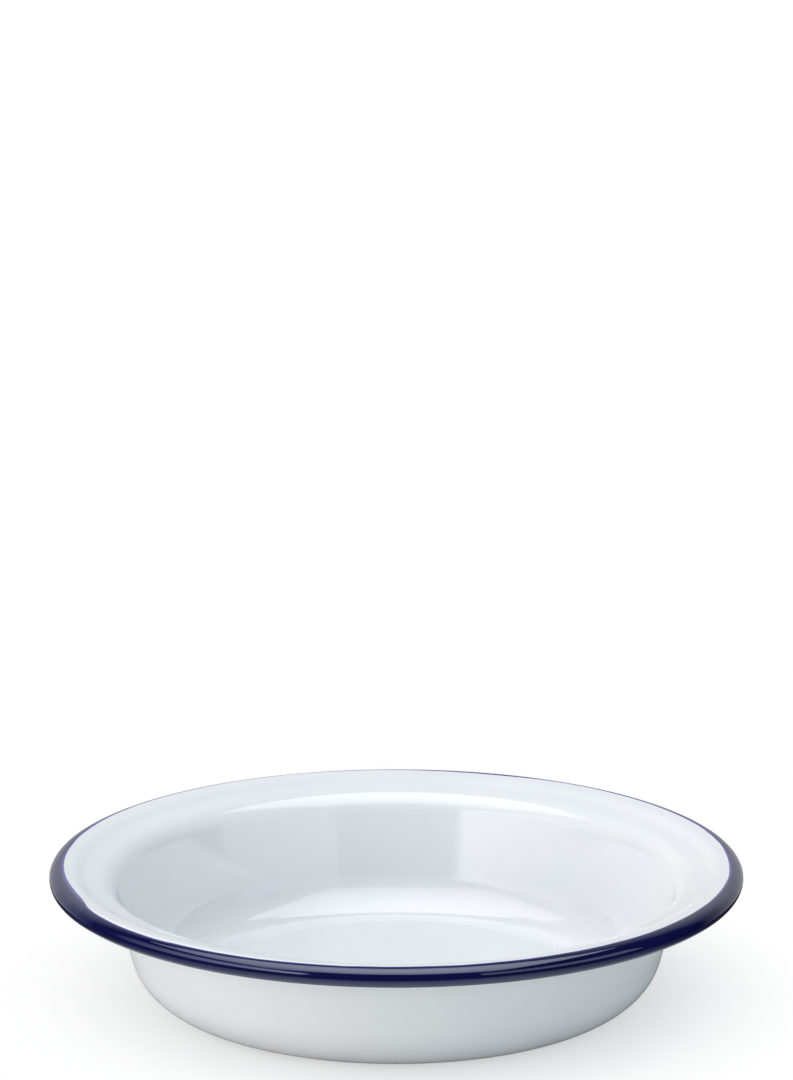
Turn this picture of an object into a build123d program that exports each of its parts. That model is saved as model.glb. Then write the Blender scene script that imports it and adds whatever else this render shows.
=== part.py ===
from build123d import *
import os
from math import cos, degrees, radians, sin, tan

# Enamelled steel pie dish with a rolled rim, in millimetres, +Z up.
#
# One round blank of sheet steel is drawn into a shallow dish whose base has a raised middle, and
# its edge is curled outwards and down into a hollow bead. Glass enamel is then fused on: white
# inside, white outside and a cobalt blue band over the bead. Steel and coats are separate solids
# that meet face to face. Every section is turned about the Z axis. The origin is on that axis,
# at the level of the surface that the dish stands on.

# The whole dish, over its enamel
rim_diameter = 220.0
dish_height = 43.6

# Sheet and coats
sheet_thickness = 0.6
inside_coat = 0.2
outside_coat = 0.2
rim_coat = 0.2

# Base and wall, on the sheet's upper face
wall_draft = 14.0  # degrees from upright
base_corner_radius = 18.2
standing_ring_width = 3.0  # the level ring that the dish stands on, inside the corner
panel_rise = 4.6  # the middle of the base stands this much higher than the ring
panel_slope = 50.0  # degrees from level, of the step between ring and panel
panel_bend = 3.0  # radius of both bends of that step

# Flange, on the sheet's upper face. Its widths run inwards from where the curl starts.
land_width = 4.04
land_slope = 8.0  # degrees from level, as are the next two
step_width = 3.5
step_slope = 25.0
ledge_width = 8.9  # up to where it would meet the wall without the shoulder's bend
ledge_slope = 12.5
shoulder_radius = 7.8
step_foot_bend = 8.0
step_top_bend = 5.0

# Rolled bead
bead_diameter = 6.3  # over its enamel
curl_sweep = 300.0  # degrees that the sheet turns after it leaves the land

# Ends of the coats on the land, from where the curl starts
blue_land_width = 0.5
outside_coat_clearance = 2.54


def along(angle):
    """Unit step in the section at an angle above level."""
    return cos(radians(angle)), sin(radians(angle))


def raised(point, angle, offset):
    """A point on a straight of that angle, moved square to it by the offset."""
    across, up = along(angle)
    return point[0] - offset * up, point[1] + offset * across


def at_radius(point, angle, radius):
    """The point of a straight at a distance from the axis."""
    return radius, point[1] + (radius - point[0]) * tan(radians(angle))


def meet(first, second):
    """Where two straights meet, each a point and an angle."""
    (r1, z1), angle1 = first
    (r2, z2), angle2 = second
    across1, up1 = along(angle1)
    across2, up2 = along(angle2)
    travel = ((r2 - r1) * up2 - (z2 - z1) * across2) / (across1 * up2 - up1 * across2)
    return r1 + travel * across1, z1 + travel * up1


# The curl's centre, and the radius of the steel's outer face round it
bead_radius = bead_diameter / 2
curl_centre = (rim_diameter / 2 - bead_radius, dish_height - bead_radius)
curl_radius = bead_radius - rim_coat
curl_start = 90.0 + land_slope  # degrees round the centre, where the land runs into the curl
curl_end = curl_start - curl_sweep

# The corners of the sheet's upper face as if it had no bends, from the curl inwards
base_level = outside_coat + sheet_thickness
land_point = raised(curl_centre, land_slope, curl_radius)
step_top = at_radius(land_point, land_slope, land_point[0] - land_width)
step_foot = at_radius(step_top, step_slope, step_top[0] - step_width)
wall_top = at_radius(step_foot, ledge_slope, step_foot[0] - ledge_width)
wall_angle = 90.0 - wall_draft
wall_foot = meet((wall_top, wall_angle), ((0.0, base_level), 0.0))
ring_outer_radius = wall_foot[0] - base_corner_radius * tan(radians(wall_angle / 2))
ring_inner_radius = ring_outer_radius - standing_ring_width
panel_foot_radius = ring_inner_radius - panel_bend * tan(radians(panel_slope / 2))

# The same face as straights, each a point and an angle, from the axis outwards
straights = [
    ((0.0, base_level + panel_rise), 0.0),
    ((panel_foot_radius, base_level), -panel_slope),
    ((0.0, base_level), 0.0),
    (wall_top, wall_angle),
    (wall_top, ledge_slope),
    (step_foot, step_slope),
    (land_point, land_slope),
]
bends = [
    panel_bend,
    panel_bend,
    base_corner_radius,
    shoulder_radius,
    step_foot_bend,
    step_top_bend,
]

# Where the coats end on the land, as distances from the axis
blue_edge_radius = land_point[0] - blue_land_width
outside_edge_radius = land_point[0] - outside_coat_clearance


def sheet_line(offset, end_radius=None):
    """The section's line at an offset above the sheet's upper face, from the axis to the curl,
    or to the land at end_radius, where it is cut square to the sheet."""
    lines = [(raised(point, angle, offset), angle) for point, angle in straights]
    corners = [meet(first, second) for first, second in zip(lines, lines[1:])]
    # A bend that turns upwards has its centre above the sheet, so it gets smaller with height.
    turns = [second[1] - first[1] for first, second in zip(lines, lines[1:])]
    radii = [bend - offset if turn > 0 else bend + offset for bend, turn in zip(bends, turns)]
    end = land_point if end_radius is None else at_radius(land_point, land_slope, end_radius)
    return FilletPolyline(lines[0][0], *corners, raised(end, land_slope, offset), radius=radii)


def curl_point(radius, angle):
    """A point at a radius and angle round the curl's centre."""
    across, up = along(angle)
    return curl_centre[0] + radius * across, curl_centre[1] + radius * up


def curl_arc(radius, start, end):
    """The arc round the curl's centre from one angle to another, in degrees."""
    return CenterArc(curl_centre, radius, start, end - start)


def turned(*edges):
    """The solid of a closed section turned once round the axis."""
    section = make_face(Curve(children=[]) + list(edges))
    return revolve(Plane.XZ * section, axis=Axis.Z)


def pressed_steel_dish():
    """The blank with its raised base, wall and flange, and the curl that stiffens its edge."""
    upper = sheet_line(0.0)
    lower = sheet_line(-sheet_thickness)
    inner_radius = curl_radius - sheet_thickness
    return turned(
        upper,
        curl_arc(curl_radius, curl_start, curl_end),
        Line(curl_point(curl_radius, curl_end), curl_point(inner_radius, curl_end)),
        curl_arc(inner_radius, curl_end, curl_start),
        lower,
        Line(lower @ 0, upper @ 0),
    )


def coat_on_sheet(bottom_offset, top_offset, end_radius):
    """A coat between two offsets, from the axis to a square edge on the land."""
    bottom = sheet_line(bottom_offset, end_radius)
    top = sheet_line(top_offset, end_radius)
    return turned(bottom, Line(bottom @ 1, top @ 1), top, Line(top @ 0, bottom @ 0))


def white_inside_enamel():
    """White glass over the base, wall and flange, as far as the blue band."""
    return coat_on_sheet(0.0, inside_coat, blue_edge_radius)


def white_outside_enamel():
    """White glass under the base, up the wall and under the flange, as far as the bead."""
    return coat_on_sheet(-sheet_thickness - outside_coat, -sheet_thickness, outside_edge_radius)


def blue_rim_enamel():
    """Blue glass from the land over the bead and round the sheet's cut edge."""
    outer_radius = curl_radius + rim_coat
    inner_radius = curl_radius - sheet_thickness
    cap_end = curl_end - degrees(rim_coat / curl_radius)
    edge = at_radius(land_point, land_slope, blue_edge_radius)
    raised_edge = raised(edge, land_slope, rim_coat)
    return turned(
        Line(edge, raised_edge),
        Line(raised_edge, curl_point(outer_radius, curl_start)),
        curl_arc(outer_radius, curl_start, cap_end),
        Line(curl_point(outer_radius, cap_end), curl_point(inner_radius, cap_end)),
        curl_arc(inner_radius, cap_end, curl_end),
        Line(curl_point(inner_radius, curl_end), curl_point(curl_radius, curl_end)),
        curl_arc(curl_radius, curl_end, curl_start),
        Line(land_point, edge),
    )


pieces = {
    "pressed_steel_dish": pressed_steel_dish(),
    "white_inside_enamel": white_inside_enamel(),
    "white_outside_enamel": white_outside_enamel(),
    "blue_rim_enamel": blue_rim_enamel(),
}

os.makedirs("parts", exist_ok=True)
print("stands on a ring from radius", round(ring_inner_radius, 2), "to", round(ring_outer_radius, 2))
print("panel edge radius", round(panel_foot_radius - panel_rise / tan(radians(panel_slope)), 2))
print("wall meets base at radius", round(wall_foot[0], 2))
for name, piece in pieces.items():
    export_step(piece, os.path.join("parts", name + ".step"))
    print(name, "volume", round(piece.volume), "mm3")
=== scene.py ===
# %% [markdown]
# # An enamelled pie dish, coat by coat
#
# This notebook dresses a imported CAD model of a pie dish. The real dish is one round sheet of
# steel, pressed into shape, with its edge curled into a hollow bead. Glass is then melted onto
# it: white inside and out, and a blue band over the bead. The steel stays as the CAD made it.
# The three coats of glass are what a viewer sees, so each is made again here, smooth enough
# for sharp reflections and with the small unevenness of work done by hand.

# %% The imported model
import math

import bmesh
import bpy
from mathutils import Matrix, Vector


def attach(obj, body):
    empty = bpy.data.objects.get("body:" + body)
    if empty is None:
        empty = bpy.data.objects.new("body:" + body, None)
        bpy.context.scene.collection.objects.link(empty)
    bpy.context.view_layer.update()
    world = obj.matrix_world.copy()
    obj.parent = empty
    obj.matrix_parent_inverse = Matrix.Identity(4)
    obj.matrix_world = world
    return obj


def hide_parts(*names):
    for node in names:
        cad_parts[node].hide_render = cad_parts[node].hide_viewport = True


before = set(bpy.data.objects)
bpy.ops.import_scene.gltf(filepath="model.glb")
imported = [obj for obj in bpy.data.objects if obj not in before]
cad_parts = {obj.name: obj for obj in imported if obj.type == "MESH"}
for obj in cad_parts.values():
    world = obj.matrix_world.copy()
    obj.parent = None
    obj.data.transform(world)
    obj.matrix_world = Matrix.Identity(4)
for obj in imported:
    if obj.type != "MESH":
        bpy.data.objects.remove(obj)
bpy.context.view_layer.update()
print("CAD nodes:", sorted(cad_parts))

# %% [markdown]
# ## The camera
#
# Fitting the two outlines of the rim gave a long lens, 1.4 m away and 17 degrees above the
# dish. The dish sits low in the picture. A camera can put it there by shifting its lens or by
# tilting up a little. Tilting was chosen, because a shift would stay when another view turns
# the camera round the dish.

# %% Camera
mm = 0.001
camera_distance = 1436.4 * mm  # from the middle of the rolled bead's circle
camera_elevation = math.radians(16.99)
bead_height = 40.45 * mm
picture_height = 1080  # rows
lens_length, sensor_length = 150.0, 36.0
camera_side = 0.06 * mm
dish_row = 870.3  # the row in which the middle of the bead's circle lies

focal_pixels = picture_height * lens_length / sensor_length
tilt_up = math.atan((dish_row - picture_height / 2) / focal_pixels)
camera_data = bpy.data.cameras.new("camera")
camera_data.lens = lens_length
camera_data.sensor_width = sensor_length
camera_data.clip_end = 30.0
camera = bpy.data.objects.new("camera", camera_data)
bpy.context.scene.collection.objects.link(camera)
camera.location = (
    camera_side,
    -camera_distance * math.cos(camera_elevation),
    bead_height + camera_distance * math.sin(camera_elevation),
)
camera.rotation_euler = (math.pi / 2 - camera_elevation + tilt_up, 0.0, 0.0)
bpy.context.scene.camera = camera
print("camera tilts up by", round(math.degrees(tilt_up), 2), "degrees from the dish")

# %% [markdown]
# ## The sheet's line
#
# Cut the dish through its axis and the sheet shows as one thin line: raised middle, standing
# ring, corner, wall, shoulder, ledge, step, land and curl. A maker draws such a line as
# straights joined by bends, and so does this cell. These are the sizes of the CAD source, on
# the upper face of the steel, in millimetres.

# %% Sizes of the sheet
rim_diameter = 220.0
dish_height = 43.6
sheet_thickness = 0.6
coat_thickness = 0.2
wall_draft = 14.0
base_corner_radius = 18.2
standing_ring_width = 3.0
panel_rise = 4.6
panel_slope = 50.0
panel_bend = 3.0
land_width = 4.04
land_slope = 8.0
step_width = 3.5
step_slope = 25.0
ledge_width = 8.9
ledge_slope = 12.5
shoulder_radius = 7.8
step_foot_bend = 8.0
step_top_bend = 5.0
bead_diameter = 6.3
curl_sweep = 300.0
outside_coat_clearance = 2.54

# %% Where the straights meet


def along(angle):
    """A unit step in the section, at an angle in degrees above level."""
    return Vector((math.cos(math.radians(angle)), math.sin(math.radians(angle))))


def meet(first, second):
    """Where two straights meet, each a point and an angle."""
    (start, angle), (goal, other) = first, second
    step, turn = along(angle), along(other)
    gap = goal - start
    travel = (gap.x * turn.y - gap.y * turn.x) / (step.x * turn.y - step.y * turn.x)
    return start + travel * step


def at_radius(point, angle, radius):
    """The point of a straight at a distance from the axis."""
    return point + along(angle) * ((radius - point.x) / along(angle).x)


bead_radius = bead_diameter / 2
curl_radius = bead_radius - coat_thickness
curl_centre = Vector((rim_diameter / 2 - bead_radius, dish_height - bead_radius))
curl_start = curl_centre + curl_radius * along(90.0 + land_slope)
step_top = at_radius(curl_start, land_slope, curl_start.x - land_width)
step_foot = at_radius(step_top, step_slope, step_top.x - step_width)
wall_top = at_radius(step_foot, ledge_slope, step_foot.x - ledge_width)
base_level = Vector((0.0, coat_thickness + sheet_thickness))
wall_angle = 90.0 - wall_draft
wall_foot = meet((wall_top, wall_angle), (base_level, 0.0))
ring_outside = wall_foot.x - base_corner_radius * math.tan(math.radians(wall_angle / 2))
ring_inside = ring_outside - standing_ring_width
panel_foot = ring_inside - panel_bend * math.tan(math.radians(panel_slope / 2))
straights = [
    (base_level + Vector((0.0, panel_rise)), 0.0),
    (Vector((panel_foot, base_level.y)), -panel_slope),
    (base_level, 0.0),
    (wall_top, wall_angle),
    (wall_top, ledge_slope),
    (step_foot, step_slope),
    (curl_start, land_slope),
]
bends = [
    panel_bend,
    panel_bend,
    base_corner_radius,
    shoulder_radius,
    step_foot_bend,
    step_top_bend,
]
print("the dish stands on a ring of radius", round(ring_inside, 1), "to", round(ring_outside, 1))

# %% [markdown]
# Glass shows every flat facet, so the bends get a point every two or three degrees. The curl
# is so small that it needs fewer. The line goes on a little past the sheet's cut edge, because
# the blue glass wraps round that edge.

# %% The line as points
bend_step = 2.5  # degrees of a bend between two points
curl_step = 7.5  # the same for the curl
curl_overrun = 0.3  # mm past the cut edge


def bend_points(corner, angle, next_angle, radius):
    """Points of the round bend that replaces a corner between two angles."""
    turn = next_angle - angle
    side = 1.0 if turn > 0 else -1.0
    reach = radius * math.tan(math.radians(abs(turn) / 2))
    centre = corner - reach * along(angle) + side * radius * along(angle + 90.0)
    count = max(4, round(abs(turn) / bend_step))
    angles = [angle + turn * k / count for k in range(count + 1)]
    return [centre - side * radius * along(a + 90.0) for a in angles]


sheet_points = [straights[0][0]]
for number, radius in enumerate(bends):
    corner = meet(straights[number], straights[number + 1])
    sheet_points += bend_points(corner, straights[number][1], straights[number + 1][1], radius)
curl_from = 90.0 + land_slope
curl_overrun_angle = math.degrees(curl_overrun / curl_radius)
curl_count = round((curl_sweep + curl_overrun_angle) / curl_step)
for k in range(curl_count + 1):
    turned = (curl_sweep + curl_overrun_angle) * k / curl_count
    sheet_points.append(curl_centre + curl_radius * along(curl_from - turned))

lengths = [0.0]
for first, second in zip(sheet_points, sheet_points[1:]):
    lengths.append(lengths[-1] + (second - first).length)
curl_length = lengths[len(sheet_points) - 1 - curl_count]  # from the axis to the curl's start
cut_length = lengths[-1] - curl_overrun
print("points on the line:", len(sheet_points))
print("length in mm to the curl:", round(curl_length, 2), "and to the cut edge:", round(cut_length, 2))

# %% [markdown]
# The line becomes a curve object that the next step reads. It is a tool, not a piece of the
# dish, so it is removed once the coats are made.

# %% The line as a curve
line_data = bpy.data.curves.new("sheet_line", "CURVE")
line_data.dimensions = "3D"
line_spline = line_data.splines.new("POLY")
line_spline.points.add(len(sheet_points) - 1)
for spot, point in zip(line_spline.points, sheet_points):
    spot.co = (point.x * mm, 0.0, point.y * mm, 1.0)
sheet_line = bpy.data.objects.new("sheet_line", line_data)
bpy.context.scene.collection.objects.link(sheet_line)

# %% [markdown]
# ## Helpers for node trees
#
# Both Geometry Nodes and materials are built from nodes joined by links. A few small helpers
# keep the cells short: one adds a node and fills in its sockets, two make the steps that come
# up most, a sum and a ramp, and one makes a group's named sockets.


# %% Node helpers
def put(tree, kind, inputs=(), **settings):
    """Adds a node, sets its settings, then fills its inputs with links or plain values."""
    node = tree.nodes.new(kind)
    for name, value in settings.items():
        setattr(node, name, value)
    for name, value in dict(inputs).items():
        socket = node.inputs[name]
        if isinstance(value, bpy.types.NodeSocket):
            tree.links.new(value, socket)
        else:
            socket.default_value = value
    return node


def math_step(tree, operation, first, second=0.0, third=0.0):
    """One Math node's result. Each of its inputs is a link or a number."""
    inputs = {0: first, 1: second, 2: third}
    return put(tree, "ShaderNodeMath", inputs, operation=operation).outputs[0]


def ramp(tree, value, start, end, low=0.0, high=1.0, **settings):
    """A value mapped from start and end to low and high, and held outside them."""
    inputs = {"Value": value, "From Min": start, "From Max": end, "To Min": low, "To Max": high}
    return put(tree, "ShaderNodeMapRange", inputs, **settings).outputs[0]


def add_sockets(tree, direction, sockets):
    """Makes named sockets on a group, from (name, type, default value) rows."""
    for name, kind, value in sockets:
        socket = tree.interface.new_socket(name=name, in_out=direction, socket_type=kind)
        if value is not None:
            socket.default_value = value


# %% [markdown]
# ## The hand-banded blue edge
#
# On the real dish the rim is turned through blue slip by hand, so the line where blue meets
# white wanders. It covers one to two millimetres of the land on the left, where it also steps
# out sharply, and hardly reaches past the top of the bead at the front. A Float Curve holds
# that wander as a graph: turn round the rim from left to right, shift of the edge upwards.
# A fine noise, sampled on a circle so that it closes, makes the edge less perfect.

# %% Where the blue edge runs
widest_shift = 3.0  # mm; the graph's full height stands for twice this
raggedness = 0.25  # mm to each side
edge_reference = 105.94  # mm from the axis, where the CAD puts the edge
# Degrees round the axis, where 270 is the front, and mm from the axis
edge_radii = {
    0: 105.6, 12: 106.0, 30: 106.4, 45: 106.6, 60: 106.6, 72: 106.0, 80: 106.2, 90: 106.8,
    100: 107.0, 112: 107.4, 125: 107.3, 135: 107.1, 144: 106.9, 156: 106.5, 168: 106.0,
    180: 105.6, 192: 105.0, 199: 104.8, 203: 105.2, 208: 106.9, 213: 107.4, 222: 107.7,
    240: 107.4, 258: 107.2, 270: 106.95, 285: 106.9, 300: 106.7, 312: 106.6, 320: 106.4,
    330: 105.9, 345: 105.8, 354: 105.7, 360: 105.6,
}


def edge_tree():
    """A group that gives the blue edge's shift along the sheet for an angle round the axis."""
    tree = bpy.data.node_groups.new("banded_edge", "GeometryNodeTree")
    add_sockets(tree, "INPUT", [("Angle", "NodeSocketFloat", 0.0)])
    add_sockets(tree, "OUTPUT", [("Shift", "NodeSocketFloat", None)])
    angle = tree.nodes.new("NodeGroupInput").outputs["Angle"]
    share = math_step(tree, "DIVIDE", angle, 2 * math.pi)
    graph = put(tree, "ShaderNodeFloatCurve", {"Value": share})
    curve = graph.mapping.curves[0]
    heights = [(degree / 360, 0.5 + (radius - edge_reference) / (2 * widest_shift))
               for degree, radius in sorted(edge_radii.items())]
    curve.points[0].location = heights[0]
    curve.points[1].location = heights[-1]
    for spot in heights[1:-1]:
        curve.points.new(*spot)
    graph.mapping.update()
    wander = math_step(tree, "MULTIPLY_ADD", graph.outputs[0], 2 * widest_shift * mm,
                       -widest_shift * mm)
    ring = put(tree, "ShaderNodeCombineXYZ", {
        "X": math_step(tree, "COSINE", angle),
        "Y": math_step(tree, "SINE", angle),
    })
    fine = put(tree, "ShaderNodeTexNoise", {"Vector": ring.outputs[0], "Scale": 9.0, "Detail": 3.0})
    ragged = math_step(tree, "MULTIPLY_ADD", fine.outputs[0], 2 * raggedness * mm, -raggedness * mm)
    total = math_step(tree, "ADD", wander, ragged)
    put(tree, "NodeGroupOutput", {"Shift": total})
    return tree


banded_edge = edge_tree()
print("the blue edge lies at", min(edge_radii.values()), "to", max(edge_radii.values()), "mm")

# %% [markdown]
# ## Glass that has run
#
# Wet slip runs down before it dries. On the bead it leaves the upper shoulder thin and gathers
# on the outside, so the bead's outer face isn't quite round. It is a third of a millimetre at
# most, yet it decides where the bead mirrors the lamps. A second graph holds it: turn round the
# curl from left to right, extra height of the glass upwards. The tree that lays the coats uses
# all of it at the front of the rim, half at the sides and none at the back.

# %% How the glass has run on the bead
thickest_run = 0.4  # mm; the graph's full height stands for twice this
# Degrees round the curl, where 90 is its top and 0 its outermost point, and mm
run_heights = {98: 0.0, 90: -0.045, 80: -0.12, 72: -0.15, 66: -0.14, 60: -0.10, 54: -0.05,
               48: 0.005, 42: 0.065, 36: 0.128, 30: 0.19, 24: 0.25, 18: 0.298, 12: 0.32,
               6: 0.325, 0: 0.325, -15: 0.335, -30: 0.325, -50: 0.295, -73: 0.245, -95: 0.17,
               -125: 0.07, -202: 0.0}


def run_tree():
    """A group that gives the extra height of the glass for a length along the sheet."""
    tree = bpy.data.node_groups.new("glass_run", "GeometryNodeTree")
    add_sockets(tree, "INPUT", [("Length", "NodeSocketFloat", 0.0)])
    add_sockets(tree, "OUTPUT", [("Height", "NodeSocketFloat", None)])
    length = tree.nodes.new("NodeGroupInput").outputs["Length"]
    share = ramp(tree, length, curl_length * mm, cut_length * mm)
    graph = put(tree, "ShaderNodeFloatCurve", {"Value": share})
    curve = graph.mapping.curves[0]
    heights = [((90.0 + land_slope - angle) / curl_sweep, 0.5 + height / (2 * thickest_run))
               for angle, height in run_heights.items()]
    curve.points[0].location = heights[0]
    curve.points[1].location = heights[-1]
    for spot in heights[1:-1]:
        curve.points.new(*spot)
    graph.mapping.update()
    extra = math_step(tree, "MULTIPLY_ADD", graph.outputs[0], 2 * thickest_run * mm,
                      -thickest_run * mm)
    put(tree, "NodeGroupOutput", {"Height": extra})
    return tree


glass_run = run_tree()

# %% [markdown]
# ## Laying a coat of glass on the sheet
#
# A round piece is usually made with a Screw modifier or with Spin. Here the rule is richer: a
# coat follows the sheet at a height of its own, and its edge wanders round the rim. So each
# coat starts as a flat drawing, in which left to right is length along the sheet and up is
# height above it. The tree takes a grid, one column for each step round the axis and one row
# for each point of the drawing, and moves every grid point to its place: along the sheet's
# line by its length, square to it by its height, and round the axis by its column. Points of
# the drawing carry two shares: how far they follow the blue edge, and how far they belong to
# the free skin of the glass, which is never perfectly even.

# %% The tree that lays a coat
far_shift = -1.1  # mm; where the blue edge runs this far onto the land,
far_stretch = 2.6  # the glass takes this many times longer to fill


def coat_tree():
    """Geometry Nodes that wrap a flat drawing of a coat round the dish."""
    tree = bpy.data.node_groups.new("laid_coat", "GeometryNodeTree")
    add_sockets(tree, "INPUT", [
        ("Drawing", "NodeSocketGeometry", None),
        ("Sheet Line", "NodeSocketObject", None),
        ("Steps Around", "NodeSocketInt", 64),
        ("Unevenness", "NodeSocketFloat", 0.0),
        ("Unevenness Scale", "NodeSocketFloat", 20.0),
        ("Unevenness Seed", "NodeSocketFloat", 0.0),
        ("Edge Length", "NodeSocketFloat", 0.1),
        ("Full Depth Reach", "NodeSocketFloat", 0.0008),
        ("Glass", "NodeSocketMaterial", None),
    ])
    add_sockets(tree, "OUTPUT", [("Coat", "NodeSocketGeometry", None)])
    given = tree.nodes.new("NodeGroupInput")
    drawing = given.outputs["Drawing"]

    # One grid point for each drawing point and step
    size = put(tree, "GeometryNodeAttributeDomainSize", {"Geometry": drawing})
    rows = size.outputs["Point Count"]
    columns = math_step(tree, "ADD", given.outputs["Steps Around"], 1.0)
    grid = put(tree, "GeometryNodeMeshGrid", {
        "Size X": 1.0, "Size Y": 1.0, "Vertices X": columns, "Vertices Y": rows,
    })
    position = put(tree, "GeometryNodeInputPosition").outputs[0]
    spot = put(tree, "ShaderNodeSeparateXYZ", {"Vector": position})
    angle = math_step(tree, "MULTIPLY_ADD", spot.outputs["X"], 2 * math.pi, math.pi)
    last_row = math_step(tree, "SUBTRACT", rows, 1.0)
    row_share = math_step(tree, "ADD", spot.outputs["Y"], 0.5)
    row = math_step(tree, "ROUND", math_step(tree, "MULTIPLY", row_share, last_row))

    # What the drawing says for that row
    def read(value, kind="FLOAT"):
        sample = put(tree, "GeometryNodeSampleIndex", {"Geometry": drawing, "Index": row},
                     data_type=kind, domain="POINT")
        tree.links.new(value, sample.inputs["Value"])
        return sample.outputs[0]

    def stored(name):
        named = put(tree, "GeometryNodeInputNamedAttribute", {"Name": name}, data_type="FLOAT")
        return named.outputs[0]

    place = put(tree, "ShaderNodeSeparateXYZ", {"Vector": read(position, "FLOAT_VECTOR")})
    edge_share = read(stored("edge_share"))
    skin_share = read(stored("skin_share"))

    # Along the sheet, with the wander of the blue edge
    edge = put(tree, "GeometryNodeGroup", {}, node_tree=banded_edge)
    tree.links.new(angle, edge.inputs["Angle"])
    length = math_step(tree, "MULTIPLY_ADD", edge.outputs["Shift"], edge_share, place.outputs["X"])
    line = put(tree, "GeometryNodeObjectInfo", {"Object": given.outputs["Sheet Line"]})
    foot = put(tree, "GeometryNodeSampleCurve",
               {"Curves": line.outputs["Geometry"], "Length": length},
               mode="LENGTH", use_all_curves=False)
    foot_at = put(tree, "ShaderNodeSeparateXYZ", {"Vector": foot.outputs["Position"]})
    run = put(tree, "ShaderNodeSeparateXYZ", {"Vector": foot.outputs["Tangent"]})

    # How deep the glass is: it takes longer to fill where the edge runs far onto the land
    edge_at = math_step(tree, "ADD", given.outputs["Edge Length"], edge.outputs["Shift"])
    past_edge = math_step(tree, "SUBTRACT", length, edge_at)
    stretch = ramp(tree, edge.outputs["Shift"], 0.0, far_shift * mm, 1.0, far_stretch)
    reach = math_step(tree, "MULTIPLY", given.outputs["Full Depth Reach"], stretch)
    glass_depth = math_step(tree, "DIVIDE", past_edge, reach)

    # Up from the sheet, with the unevenness of the free skin
    cosine, sine = math_step(tree, "COSINE", angle), math_step(tree, "SINE", angle)
    around = put(tree, "ShaderNodeCombineXYZ", {
        "X": math_step(tree, "MULTIPLY", foot_at.outputs["X"], cosine),
        "Y": math_step(tree, "MULTIPLY", foot_at.outputs["X"], sine),
        "Z": foot_at.outputs["Z"],
    })
    ripple = put(tree, "ShaderNodeTexNoise", {
        "Vector": around.outputs[0],
        "W": given.outputs["Unevenness Seed"],
        "Scale": given.outputs["Unevenness Scale"],
        "Detail": 1.0,
    }, noise_dimensions="4D")
    centred = math_step(tree, "SUBTRACT", ripple.outputs[0], 0.5)
    swell = math_step(tree, "MULTIPLY", centred, skin_share)
    height = math_step(tree, "MULTIPLY_ADD", swell, given.outputs["Unevenness"], place.outputs["Z"])
    run_down = put(tree, "GeometryNodeGroup", {}, node_tree=glass_run)
    tree.links.new(length, run_down.inputs["Length"])
    front_share = math_step(tree, "MULTIPLY_ADD", sine, -0.5, 0.5)
    ran = math_step(tree, "MULTIPLY", run_down.outputs["Height"], front_share)
    height = math_step(tree, "MULTIPLY_ADD", ran, skin_share, height)
    inwards = math_step(tree, "MULTIPLY", run.outputs["Z"], height)
    radius = math_step(tree, "SUBTRACT", foot_at.outputs["X"], inwards)
    level = math_step(tree, "MULTIPLY_ADD", run.outputs["X"], height, foot_at.outputs["Z"])
    off_axis = math_step(tree, "GREATER_THAN", place.outputs["X"], 0.001 * mm)
    radius = math_step(tree, "MULTIPLY", radius, off_axis)
    wrapped = put(tree, "ShaderNodeCombineXYZ", {
        "X": math_step(tree, "MULTIPLY", radius, cosine),
        "Y": math_step(tree, "MULTIPLY", radius, sine),
        "Z": level,
    })

    # The wrapped grid: its depth of glass is kept for the material, and its seams are closed
    kept = put(tree, "GeometryNodeStoreNamedAttribute",
               {"Geometry": grid.outputs["Mesh"], "Name": "glass_depth", "Value": glass_depth},
               data_type="FLOAT", domain="POINT")
    moved = put(tree, "GeometryNodeSetPosition",
                {"Geometry": kept.outputs[0], "Position": wrapped.outputs[0]})
    closed = put(tree, "GeometryNodeMergeByDistance",
                 {"Geometry": moved.outputs[0], "Distance": 0.002 * mm})
    smooth = put(tree, "GeometryNodeSetShadeSmooth",
                 {"Geometry": closed.outputs[0], "Shade Smooth": True})
    real = put(tree, "GeometryNodeRealizeInstances", {"Geometry": smooth.outputs[0]})
    finished = put(tree, "GeometryNodeSetMaterial",
                   {"Geometry": real.outputs[0], "Material": given.outputs["Glass"]})
    put(tree, "NodeGroupOutput", {"Coat": finished.outputs[0]})
    return tree


laid_coat = coat_tree()
print("the tree has", len(laid_coat.nodes), "nodes")

# %% [markdown]
# The next cell draws a coat, runs the tree on it and keeps the result as a plain mesh. A
# modifier's input has to be set by the identifier of its socket, because names may repeat.
# Blender can't know which side of such a shell is outside, so the mesh is turned right side
# out at the end, and its volume is printed as a check: it has to be above zero.

# %% Making a coat
blue_land_width = 0.5
edge_length = curl_length - blue_land_width / along(land_slope).x  # where the CAD's blue edge lies
full_depth_reach = 0.8  # mm in from the edge where the blue glass is full
unevenness_scale = 28.0


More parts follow.
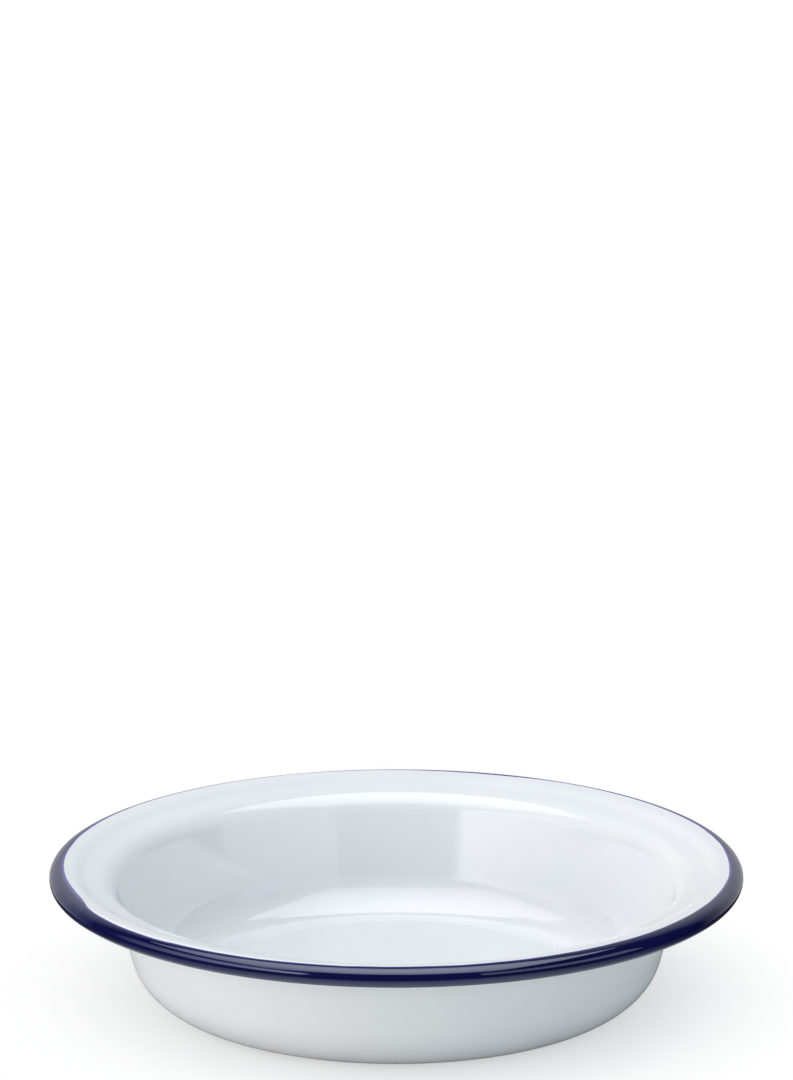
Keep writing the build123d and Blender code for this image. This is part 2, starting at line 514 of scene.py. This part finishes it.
def wrap_coat(name, rows, glass, unevenness, seed, steps=512):
    """A coat from rows of (length, height, edge share, skin share), in mm."""
    points = [(length * mm, 0.0, height * mm) for length, height, *_ in rows]
    drawing = bpy.data.meshes.new(name)
    drawing.from_pydata(points, [(k, k + 1) for k in range(len(points) - 1)], [])
    for column, label in enumerate(("edge_share", "skin_share"), start=2):
        values = drawing.attributes.new(label, "FLOAT", "POINT")
        for spot, values_row in zip(values.data, rows):
            spot.value = values_row[column]
    piece = bpy.data.objects.new(name, drawing)
    bpy.context.scene.collection.objects.link(piece)
    modifier = piece.modifiers.new("laid_coat", "NODES")
    modifier.node_group = laid_coat
    sockets = {item.name: item.identifier for item in laid_coat.interface.items_tree
               if item.item_type == "SOCKET" and item.in_out == "INPUT"}
    modifier[sockets["Sheet Line"]] = sheet_line
    modifier[sockets["Steps Around"]] = steps
    modifier[sockets["Unevenness"]] = unevenness * mm
    modifier[sockets["Unevenness Scale"]] = unevenness_scale
    modifier[sockets["Unevenness Seed"]] = seed
    modifier[sockets["Edge Length"]] = edge_length * mm
    modifier[sockets["Full Depth Reach"]] = full_depth_reach * mm
    modifier[sockets["Glass"]] = glass
    evaluated = piece.evaluated_get(bpy.context.evaluated_depsgraph_get())
    shell = bpy.data.meshes.new_from_object(evaluated)
    piece.modifiers.clear()
    piece.data = shell
    shell.name = name
    turn_outside(shell)
    return piece


def turn_outside(shell):
    """Points a closed shell's faces outwards and prints what it measures."""
    work = bmesh.new()
    work.from_mesh(shell)
    bmesh.ops.recalc_face_normals(work, faces=work.faces)
    if work.calc_volume(signed=True) < 0:
        bmesh.ops.reverse_faces(work, faces=work.faces)
    open_edges = sum(1 for edge in work.edges if not edge.is_manifold)
    volume = work.calc_volume(signed=True) * 1e9
    triangles = sum(len(face.verts) - 2 for face in work.faces)
    work.to_mesh(shell)
    work.free()
    print(shell.name, "volume", round(volume), "mm3, open edges", open_edges, "triangles", triangles)


# %% [markdown]
# ## Glass as a material
#
# Vitreous enamel is glass melted onto metal. Its colour lies under a mirror-smooth skin, but
# the skin is not flat: it has a broad flow, from slip that ran before it was fired, and a
# finer orange peel. White and blue share that skin, so it is a node group with its own sizes
# in each material. It gives the height for a Bump node and a roughness that changes a little.


# %% The skin of fired glass
def shader_group(name, inputs, outputs):
    """An empty shader group with its sockets, its input node and its output node."""
    tree = bpy.data.node_groups.new(name, "ShaderNodeTree")
    add_sockets(tree, "INPUT", inputs)
    add_sockets(tree, "OUTPUT", outputs)
    return tree, tree.nodes.new("NodeGroupInput"), tree.nodes.new("NodeGroupOutput")


def noise_of(tree, position, scale, detail=2.0, seed=0.0):
    """The value of a noise at a position, from about 0 to 1."""
    node = put(tree, "ShaderNodeTexNoise",
               {"Vector": position, "Scale": scale, "Detail": detail, "W": seed}, noise_dimensions="4D")
    return node.outputs[0]


def skin_group():
    tree, given, out = shader_group("fired_glass_skin", [
        ("Position", "NodeSocketVector", None),
        ("Flow Scale", "NodeSocketFloat", 40.0),
        ("Flow", "NodeSocketFloat", 1.0),
        ("Peel Scale", "NodeSocketFloat", 300.0),
        ("Peel", "NodeSocketFloat", 0.1),
        ("Smooth", "NodeSocketFloat", 0.03),
        ("Dull", "NodeSocketFloat", 0.08),
    ], [("Height", "NodeSocketFloat", None), ("Roughness", "NodeSocketFloat", None)])
    flow = noise_of(tree, given.outputs["Position"], given.outputs["Flow Scale"], 1.0, 3.0)
    peel = noise_of(tree, given.outputs["Position"], given.outputs["Peel Scale"], 1.0, 7.0)
    low = math_step(tree, "MULTIPLY", flow, given.outputs["Flow"])
    height = math_step(tree, "MULTIPLY_ADD", peel, given.outputs["Peel"], low)
    tree.links.new(height, out.inputs["Height"])
    patch = noise_of(tree, given.outputs["Position"], given.outputs["Flow Scale"], 3.0, 11.0)
    rough = ramp(tree, patch, 0.35, 0.7, given.outputs["Smooth"], given.outputs["Dull"])
    tree.links.new(rough, out.inputs["Roughness"])
    return tree


fired_glass_skin = skin_group()

# %% [markdown]
# Gas that escapes during firing leaves pinholes, and specks of another colour fall into the
# slip. Both are rare dots of a third of a millimetre. A Voronoi texture gives every cell a
# random colour: only the cells whose colour passes a limit get a dot in their middle.


# %% Pinholes and specks
def dots_group():
    tree, given, out = shader_group("stray_dots", [
        ("Position", "NodeSocketVector", None),
        ("Cells", "NodeSocketFloat", 120.0),
        ("Dot Size", "NodeSocketFloat", 0.03),
        ("Rarity", "NodeSocketFloat", 0.9),
    ], [("Dots", "NodeSocketFloat", None)])
    cells = put(tree, "ShaderNodeTexVoronoi",
                {"Vector": given.outputs["Position"], "Scale": given.outputs["Cells"]})
    chance = put(tree, "ShaderNodeSeparateXYZ", {"Vector": cells.outputs["Color"]})
    chosen = math_step(tree, "GREATER_THAN", chance.outputs["X"], given.outputs["Rarity"])
    size_share = math_step(tree, "ADD", chance.outputs["Y"], 0.4)
    size = math_step(tree, "MULTIPLY", given.outputs["Dot Size"], size_share)
    near = math_step(tree, "SUBTRACT", 1.0, math_step(tree, "DIVIDE", cells.outputs["Distance"], size))
    soft = ramp(tree, near, 0.0, 0.5)
    tree.links.new(math_step(tree, "MULTIPLY", soft, chosen), out.inputs["Dots"])
    return tree


stray_dots = dots_group()

# %% [markdown]
# ## White enamel
#
# The white is a cool one. Where the glass is thinner the dark ground coat greys it a little,
# which shows as a faint cloudiness. Under the dish the standing ring slides over shelves, so
# the outside coat turns dull and slightly grey there. The wear is a mask that fades with
# height, broken up by noise.


# %% White enamel
def glass_material(name):
    """A new material, its tree, its Principled node and the Object coordinates."""
    material = bpy.data.materials.new(name)
    material.use_nodes = True
    tree = material.node_tree
    shader = tree.nodes["Principled BSDF"]
    position = tree.nodes.new("ShaderNodeTexCoord").outputs["Object"]
    return material, tree, shader, position


def mix_colours(tree, share, first, second):
    """A colour between two, by a share. Each is a link or a colour."""
    node = tree.nodes.new("ShaderNodeMix")
    node.data_type = "RGBA"
    for socket, value in ((node.inputs[0], share), (node.inputs[6], first), (node.inputs[7], second)):
        if isinstance(value, bpy.types.NodeSocket):
            tree.links.new(value, socket)
        else:
            socket.default_value = value
    return node.outputs[2]


white_colour = (0.735, 0.750, 0.765, 1.0)
white_thin_colour = (0.700, 0.722, 0.745, 1.0)
white_speck_colour = (0.10, 0.09, 0.085, 1.0)
worn_white_colour = (0.42, 0.42, 0.41, 1.0)
worn_up_to, worn_fully_to = 0.35 * mm, 0.02 * mm  # heights above the shelf
white_ior = 1.7  # enamel is a dense glass and mirrors more than window glass


def white_enamel(name, worn_foot):
    material, tree, shader, position = glass_material(name)
    cloud = ramp(tree, noise_of(tree, position, 22.0, 3.0, 5.0), 0.35, 0.72)
    colour = mix_colours(tree, cloud, white_colour, white_thin_colour)
    dots = put(tree, "ShaderNodeGroup", {
        "Position": position, "Cells": 55.0, "Dot Size": 0.020, "Rarity": 0.93,
    }, node_tree=stray_dots)
    colour = mix_colours(tree, dots.outputs["Dots"], colour, white_speck_colour)
    skin = put(tree, "ShaderNodeGroup", {
        "Position": position, "Flow Scale": 38.0, "Flow": 1.0, "Peel Scale": 330.0, "Peel": 0.05,
        "Smooth": 0.02, "Dull": 0.06,
    }, node_tree=fired_glass_skin)
    roughness = skin.outputs["Roughness"]
    if worn_foot:
        height = put(tree, "ShaderNodeSeparateXYZ", {"Vector": position}).outputs["Z"]
        low = ramp(tree, height, worn_up_to, worn_fully_to)
        patches = ramp(tree, noise_of(tree, position, 260.0, 4.0, 2.0), 0.42, 0.62, 0.15, 1.0)
        wear = math_step(tree, "MULTIPLY", low, patches)
        colour = mix_colours(tree, math_step(tree, "MULTIPLY", wear, 0.55), colour, worn_white_colour)
        roughness = math_step(tree, "MULTIPLY_ADD", wear, 0.35, roughness)
    tree.links.new(colour, shader.inputs["Base Color"])
    tree.links.new(roughness, shader.inputs["Roughness"])
    shader.inputs["IOR"].default_value = white_ior
    bump = put(tree, "ShaderNodeBump",
               {"Height": skin.outputs["Height"], "Strength": 1.0, "Distance": 0.12 * mm})
    tree.links.new(bump.outputs[0], shader.inputs["Normal"])
    return material


white_inside_glass = white_enamel("white_inside_glass", worn_foot=False)
white_outside_glass = white_enamel("white_outside_glass", worn_foot=True)

# %% [markdown]
# ## Blue enamel
#
# Cobalt glass is almost black where it is thick and shows a brighter violet blue where it
# thins out, along its edge on the white. The tree above stored how deep the glass is at each
# point, as an attribute that the material reads: 0 at the edge, 1 where it is full. Its gloss
# is stronger than the white's and slightly blue, which keeps the lamps' streaks from looking
# grey.

# %% Blue enamel
blue_colour = (0.0058, 0.0060, 0.056, 1.0)
blue_streak_colour = (0.0040, 0.0040, 0.036, 1.0)
thin_blue_colour = (0.110, 0.082, 0.42, 1.0)
blue_speck_colour = (0.16, 0.17, 0.30, 1.0)
blue_ior = 2.0
blue_gloss_tint = (0.77, 0.82, 1.0, 1.0)


def blue_enamel():
    material, tree, shader, position = glass_material("blue_rim_glass")
    streaks = ramp(tree, noise_of(tree, position, 45.0, 3.0, 1.0), 0.35, 0.7)
    colour = mix_colours(tree, streaks, blue_colour, blue_streak_colour)
    depth = put(tree, "ShaderNodeAttribute", {}, attribute_name="glass_depth").outputs["Fac"]
    thin = ramp(tree, depth, 0.0, 1.0, 1.0, 0.0, interpolation_type="SMOOTHSTEP")
    colour = mix_colours(tree, thin, colour, thin_blue_colour)
    dots = put(tree, "ShaderNodeGroup", {
        "Position": position, "Cells": 90.0, "Dot Size": 0.030, "Rarity": 0.90,
    }, node_tree=stray_dots)
    colour = mix_colours(tree, dots.outputs["Dots"], colour, blue_speck_colour)
    skin = put(tree, "ShaderNodeGroup", {
        "Position": position, "Flow Scale": 75.0, "Flow": 1.0, "Peel Scale": 500.0, "Peel": 0.12,
        "Smooth": 0.02, "Dull": 0.05,
    }, node_tree=fired_glass_skin)
    tree.links.new(colour, shader.inputs["Base Color"])
    tree.links.new(skin.outputs["Roughness"], shader.inputs["Roughness"])
    shader.inputs["IOR"].default_value = blue_ior
    shader.inputs["Specular Tint"].default_value = blue_gloss_tint
    bump = put(tree, "ShaderNodeBump",
               {"Height": skin.outputs["Height"], "Strength": 1.0, "Distance": 0.16 * mm})
    tree.links.new(bump.outputs[0], shader.inputs["Normal"])
    return material


blue_rim_glass = blue_enamel()

# %% [markdown]
# ## Bare steel inside the curl
#
# The steel shows only where the curl nearly meets the land, seen from below. Drawing leaves
# fine rings in it, and firing the enamel leaves it darker and a little brown. The CAD piece
# stays, and only its material changes.

# %% Drawn steel
steel_colour = (0.42, 0.42, 0.43, 1.0)
fired_steel_colour = (0.20, 0.16, 0.13, 1.0)


def drawn_steel():
    material, tree, shader, position = glass_material("fired_sheet_steel")
    at = put(tree, "ShaderNodeSeparateXYZ", {"Vector": position})
    flat = put(tree, "ShaderNodeCombineXYZ", {"X": at.outputs["X"], "Y": at.outputs["Y"]})
    radius = put(tree, "ShaderNodeVectorMath", {0: flat.outputs[0]}, operation="LENGTH").outputs["Value"]
    ring = put(tree, "ShaderNodeCombineXYZ", {"X": radius, "Y": at.outputs["Z"]})
    rings = noise_of(tree, ring.outputs[0], 2500.0, 2.0, 4.0)
    scale_patches = noise_of(tree, position, 90.0, 4.0, 6.0)
    colour = mix_colours(tree, scale_patches, steel_colour, fired_steel_colour)
    tree.links.new(colour, shader.inputs["Base Color"])
    rough = ramp(tree, rings, 0.3, 0.7, 0.32, 0.55)
    tree.links.new(rough, shader.inputs["Roughness"])
    shader.inputs["Metallic"].default_value = 1.0
    bump = put(tree, "ShaderNodeBump", {"Height": rings, "Strength": 0.4, "Distance": 0.01 * mm})
    tree.links.new(bump.outputs[0], shader.inputs["Normal"])
    return material


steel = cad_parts["pressed_steel_dish"]
steel.data.materials.clear()
steel.data.materials.append(drawn_steel())
print("steel material:", steel.data.materials[0].name)

# %% [markdown]
# ## The white inside coat
#
# Its drawing runs along the sheet on top, from the axis to a little way under the blue, and
# back along the steel. The points near its end follow the blue edge more and more, so that
# white never shows beyond the blue. The top is drawn at every point of the sheet's line. The
# hidden face needs only every third.

# %% White inside coat
follow_reach = 4.0  # mm of the land's end over which points start to follow the edge
follow_steps = 8
tuck = 0.35  # mm that the white goes on under the blue
hidden_step = 3


def follow_share(length):
    """How far a point at a length along the sheet follows the blue edge."""
    return min(1.0, max(0.0, (length - edge_length + follow_reach) / follow_reach))


inside_end = edge_length + tuck
inside_lengths = [length for length in lengths if length < inside_end - follow_reach]
inside_lengths += [inside_end - follow_reach + follow_reach * k / follow_steps
                   for k in range(1, follow_steps + 1)]

# %% [markdown]
# Where the punch's nose ends, the real dish has a faint line all round its corner. It is a dip
# of a few hundredths of a millimetre, too shallow to feel, but the glossy glass shows it as a
# thin dark line. A few more points on both sides of it are enough to draw it.

# %% The punch line
punch_line_radius = 77.0
punch_line_depth = 0.03
punch_line_reach = 0.4  # mm to each side
at_line = next(k for k, point in enumerate(sheet_points) if point.x > punch_line_radius)
inner, outer = sheet_points[at_line - 1], sheet_points[at_line]
line_share = (punch_line_radius - inner.x) / (outer.x - inner.x)
punch_line_length = lengths[at_line - 1] + line_share * (lengths[at_line] - lengths[at_line - 1])
punch_line_steps = 5
clear_reach = punch_line_reach + 0.2  # the sheet's own points keep away this far
inside_lengths = [v for v in inside_lengths if abs(v - punch_line_length) > clear_reach]
inside_lengths += [punch_line_length + punch_line_reach * k / punch_line_steps
                   for k in range(-punch_line_steps, punch_line_steps + 1)]
inside_lengths.sort()


def punch_dip(length):
    """How deep the punch line is at a length along the sheet, in mm."""
    away = abs(length - punch_line_length) / punch_line_reach
    return punch_line_depth * math.cos(away * math.pi / 2) ** 2 if away < 1 else 0.0


inside_top = [(length, coat_thickness - punch_dip(length), follow_share(length - tuck), 1.0)
              for length in inside_lengths]
inside_foot = [(length, 0.0, share, 0.0) for length, _, share, _ in inside_top]
inside_foot = [inside_foot[-1]] + inside_foot[-2:0:-hidden_step] + [inside_foot[0]]
white_inside = wrap_coat("white_inside_coat", inside_top + inside_foot, white_inside_glass,
                         unevenness=0.05, seed=2.0)

# %% [markdown]
# ## The white outside coat
#
# The same rule with heights below the sheet makes the outside coat. It ends under the land, a
# little short of the curl, where the sprayed slip can no longer reach.

# %% White outside coat
outside_end = curl_length - outside_coat_clearance / along(land_slope).x
foot_end = 75.0  # mm along the sheet; up to here the skin is even, so that the dish stands level
end_gap = 0.3  # mm before the end in which no other point lies
outside_lengths = [length for length in lengths if length < outside_end - end_gap] + [outside_end]
outside_skin = [(length, -sheet_thickness - coat_thickness, 0.0, 0.0 if length < foot_end else 1.0)
                for length in outside_lengths]
outside_back = [(length, -sheet_thickness, 0.0, 0.0) for length in outside_lengths]
outside_back = [outside_back[-1]] + outside_back[-2:0:-hidden_step] + [outside_back[0]]
white_outside = wrap_coat("white_outside_coat", outside_skin + outside_back, white_outside_glass,
                          unevenness=0.05, seed=5.0)

# %% [markdown]
# ## The blue rim coat
#
# The blue lies on top of the white at its edge, as a lip a few hundredths of a millimetre
# high, then runs round the bead and folds round the sheet's cut edge. Its first point follows
# the wandering edge fully, and the others less and less, until the bead is round again.

# %% Blue rim coat
lip_shape = ((0.0, 0.180), (0.08, 0.205), (0.2, 0.225), (0.35, 0.238), (0.6, 0.245), (0.9, 0.245))
lip_rise = 0.045  # mm that the lip stands above a full coat
lip_fade = (1.5, 2.2, 3.0, 3.8)  # mm past the edge; here the coat gets thinner again
settled = 4.5  # mm past the reference edge where the bead is round again
# Past the cut edge and up from the sheet, in mm: the glass folds round the edge
cap_shape = ((0.02, 0.2), (0.14, 0.17), (0.2, 0.08), (0.2, -0.48), (0.14, -0.57), (0.0, -0.6),
             (0.0, 0.0))


def release_share(distance):
    """How far a point past the edge follows the edge's wander."""
    return max(0.0, 1.0 - distance / settled)


blue_top = [(edge_length + d, h, release_share(d), 1.0) for d, h in lip_shape]
for distance in lip_fade:
    height = coat_thickness + lip_rise * (1.0 - distance / settled)
    blue_top.append((edge_length + distance, height, release_share(distance), 1.0))
blue_top += [(length, coat_thickness, 0.0, 1.0)
             for length in lengths if edge_length + settled < length < cut_length]
blue_cap = [(cut_length + past, height, 0.0, 0.0) for past, height in cap_shape]
blue_foot = [(length, 0.0, share, 0.0) for length, _, share, _ in blue_top[::-1]
             if length > edge_length + 0.4]

# Just past the white's end the foot steps up, to run back to the edge in the white's top
blue_foot = blue_foot[::2] + [(edge_length + d, h, release_share(d), 0.0)
                              for d, h in ((tuck + 0.05, 0.0), (tuck + 0.03, 0.17))]
blue_rows = blue_top + blue_cap + blue_foot
blue_rim = wrap_coat("blue_rim_coat", blue_rows + blue_rows[:1], blue_rim_glass,
                     unevenness=0.08, seed=9.0)
bpy.data.objects.remove(sheet_line)

# %% [markdown]
# ## Who stands for what
#
# Each coat rides on the dish's one body and hides the CAD solid that it stands for.

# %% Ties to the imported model
for piece, node, finish in (
    (white_inside, "white_inside_enamel", "white_enamel"),
    (white_outside, "white_outside_enamel", "white_enamel"),
    (blue_rim, "blue_rim_enamel", "blue_enamel"),
):
    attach(piece, "root")
    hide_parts(node)
    print(piece.name, "stands for", node)

# %% [markdown]
# ## Floor
#
# The dish stands on a small round board, plain and pale. Under these lamps its colour makes it
# nearly white. For the camera only, a plain white glow is mixed in: over half of it near the dish,
# so that the shadow under the dish stays but lighter, and towards its border it fades into the
# white of the world, so that the picture has no horizon. The board is small, and for glossy rays
# it is darker further out and behind, as painted shade, on purpose: in the photograph the bead
# mirrors a pale surface only close to the dish and in front of it.

# %% Floor
floor_radius = 0.195
floor_corners = 128
floor_data = bpy.data.meshes.new("floor")
floor_ring = [(floor_radius * math.cos(2 * math.pi * k / floor_corners),
               floor_radius * math.sin(2 * math.pi * k / floor_corners), 0.0)
              for k in range(floor_corners)]
floor_data.from_pydata(floor_ring, [], [tuple(range(floor_corners))])
floor = bpy.data.objects.new("floor", floor_data)
bpy.context.scene.collection.objects.link(floor)

# %% Pale floor
black = (0.0, 0.0, 0.0, 1.0)
plain_white = (1.0, 1.0, 1.0, 1.0)
pale_colour, paler_colour = (0.82, 0.825, 0.83, 1.0), (0.84, 0.84, 0.84, 1.0)
floor_material = bpy.data.materials.new("pale_floor")
floor_material.use_nodes = True
floor_tree = floor_material.node_tree
floor_tree.nodes.clear()
floor_position = floor_tree.nodes.new("ShaderNodeTexCoord").outputs["Object"]
floor_at = put(floor_tree, "ShaderNodeSeparateXYZ", {"Vector": floor_position})
from_middle = put(floor_tree, "ShaderNodeVectorMath", {0: floor_position}, operation="LENGTH")
from_middle = from_middle.outputs["Value"]
grain = noise_of(floor_tree, floor_position, 60.0, 4.0, 8.0)
floor_colour = mix_colours(floor_tree, grain, pale_colour, paler_colour)

# What a glossy ray meets, as painted shade: most of the floor's colour under the dish and in front of
# it, less of it further out and behind
rays = floor_tree.nodes.new("ShaderNodeLightPath")
near_share = ramp(floor_tree, from_middle, 0.11, 0.185, 0.85, 0.08)
front_share = ramp(floor_tree, floor_at.outputs["Y"], -0.135, -0.03, 1.0, 0.10)
under_share = ramp(floor_tree, from_middle, 0.112, 0.128, 1.0, 0.0)
kept_share = math_step(floor_tree, "MAXIMUM", front_share, under_share)
kept_share = math_step(floor_tree, "MULTIPLY", near_share, kept_share)
dim = math_step(floor_tree, "SUBTRACT", 1.0, kept_share)
dim = math_step(floor_tree, "MULTIPLY", dim, rays.outputs["Is Glossy Ray"])
floor_colour = mix_colours(floor_tree, dim, floor_colour, black)

# What the camera meets: a glow of plain white, over half of it near the dish, which lightens the shadow
# there, and more of it further out
paper = put(floor_tree, "ShaderNodeBsdfDiffuse", {"Color": floor_colour}).outputs[0]
glow = put(floor_tree, "ShaderNodeEmission", {"Color": plain_white, "Strength": 1.0}).outputs[0]
fade = ramp(floor_tree, from_middle, 0.07, 0.135, 0.55, 1.0)
white_share = math_step(floor_tree, "MULTIPLY", fade, rays.outputs["Is Camera Ray"])
floor_mix = put(floor_tree, "ShaderNodeMixShader", {0: white_share, 1: paper, 2: glow})
put(floor_tree, "ShaderNodeOutputMaterial", {"Surface": floor_mix.outputs[0]})
floor_data.materials.append(floor_material)
print("floor", 2 * floor_radius, "m across")

# %% [markdown]
# ## Lamps
#
# Glossy glass shows the studio, so the lamps were placed by reading the reflections: the bead
# is a mirror ball bent into a ring. A broad box hangs over the dish and reaches far to the
# front. A long panel on the left lights the right half of the wall, up to the upright border on
# the back wall. That border is soft, and the panel fades out towards the back, so its glow is
# a small tree of its own, over the lamp's width. A weak panel stands on the right.


# %% Lamps
def lamp(name, centre, width, height, facing, power, spread=180.0, colour=(1.0, 1.0, 1.0)):
    """A flat rectangular light that faces a direction. Its power is how bright it looks."""
    data = bpy.data.lights.new(name, "AREA")
    data.shape = "RECTANGLE"
    data.size, data.size_y = width, height
    data.energy = math.pi * width * height * power
    data.spread = math.radians(spread)  # under 180 it is weaker towards the side, like a grid
    data.color = colour
    light = bpy.data.objects.new(name, data)
    bpy.context.scene.collection.objects.link(light)
    backward = -Vector(facing).normalized()
    upward = Vector((0.0, 1.0, 0.0)) if abs(backward.z) > 0.9 else Vector((0.0, 0.0, 1.0))
    sideways = upward.cross(backward).normalized()
    upward = backward.cross(sideways)
    turn = Matrix((sideways, upward, backward)).transposed().to_4x4()
    light.matrix_world = Matrix.Translation(centre) @ turn
    print(name, "power", power)
    return light


def glow_across(light, first_share, last_share, soft_share):
    """Lets a lamp's glow change over its width, with ends that fade out."""
    light.data.use_nodes = True
    tree = light.data.node_tree
    place = tree.nodes.new("ShaderNodeNewGeometry").outputs["Parametric"]
    across = put(tree, "ShaderNodeSeparateXYZ", {"Vector": place}).outputs["X"]
    slope = ramp(tree, across, 0.0, 1.0, first_share, last_share)
    from_end = math_step(tree, "MINIMUM", across, math_step(tree, "SUBTRACT", 1.0, across))
    ends = ramp(tree, from_end, 0.0, soft_share, interpolation_type="SMOOTHSTEP")
    strength = tree.nodes["Emission"].inputs["Strength"]
    tree.links.new(math_step(tree, "MULTIPLY", slope, ends), strength)


box_power, box_spread = 0.95, 120.0
box_centre, box_width, box_depth = (-0.17, -0.29, 1.2), 1.90, 1.54
left_power, left_colour = 2.0, (0.895, 0.912, 1.0)
left_centre, left_width, left_height = (-0.779, -0.475, 0.31), 1.48, 0.52
left_facing = (0.95, 0.313, 0.0)
left_back_share, left_front_share, left_soft_share = 0.0, 1.15, 0.13
right_power, right_colour = 0.70, (0.81, 0.86, 1.0)
right_centre, right_width, right_height = (0.889, -0.651, 0.31), 1.134, 0.58
right_facing = (-0.8025, 0.597, 0.0)
lamp("overhead_box", box_centre, box_width, box_depth, (0, 0, -1), box_power, box_spread)
left_panel = lamp("left_panel", left_centre, left_width, left_height, left_facing, left_power,
                  colour=left_colour)
glow_across(left_panel, left_back_share, left_front_share, left_soft_share)
lamp("right_panel", right_centre, right_width, right_height, right_facing, right_power,
     colour=right_colour)

# %% [markdown]
# The world is the room. Rays that leave a dull surface meet a soft fill, with a colour for
# each side. Rays that leave a glossy one meet a dark room in front of the dish and the white
# background behind it. The camera itself sees plain white.

# %% World
fill_from_left = (1.72, 1.67, 1.56)
fill_from_right = (0.48, 0.58, 0.58)
fill_from_front = (0.84, 0.85, 0.79)
fill_from_back = (0.26, 0.28, 0.29)
fill_from_above = (0.09, 0.13, 0.22)
mirrored_white = 0.60
world = bpy.data.worlds.new("room")
bpy.context.scene.world = world
world.use_nodes = True
room_tree = world.node_tree
room_light = room_tree.nodes["Background"]
look = put(room_tree, "ShaderNodeSeparateXYZ",
           {"Vector": room_tree.nodes.new("ShaderNodeTexCoord").outputs["Generated"]})
fill = (0.0, 0.0, 0.0)
for axis, sign, fill_colour in (
    ("X", -1.0, fill_from_left),
    ("X", 1.0, fill_from_right),
    ("Y", -1.0, fill_from_front),
    ("Y", 1.0, fill_from_back),
    ("Z", 1.0, fill_from_above),
):
    towards = math_step(room_tree, "MULTIPLY", look.outputs[axis], sign)
    towards = math_step(room_tree, "MAXIMUM", towards, 0.0)
    squared = math_step(room_tree, "MULTIPLY", towards, towards)
    part = put(room_tree, "ShaderNodeVectorMath", {0: fill_colour, "Scale": squared}, operation="SCALE")
    fill = put(room_tree, "ShaderNodeVectorMath", {0: part.outputs[0], 1: fill}).outputs[0]
mirrored = ramp(room_tree, look.outputs["Y"], 0.42, 0.85, 0.0, mirrored_white)
rays = room_tree.nodes.new("ShaderNodeLightPath").outputs
glass_rays = math_step(room_tree, "MAXIMUM", rays["Is Glossy Ray"], rays["Is Transmission Ray"])
room_colour = mix_colours(room_tree, glass_rays, fill, mirrored)
room_colour = mix_colours(room_tree, rays["Is Camera Ray"], room_colour, plain_white)
room_tree.links.new(room_colour, room_light.inputs["Color"])
room_light.inputs["Strength"].default_value = 1.0
bpy.context.scene.view_settings.view_transform = "Standard"
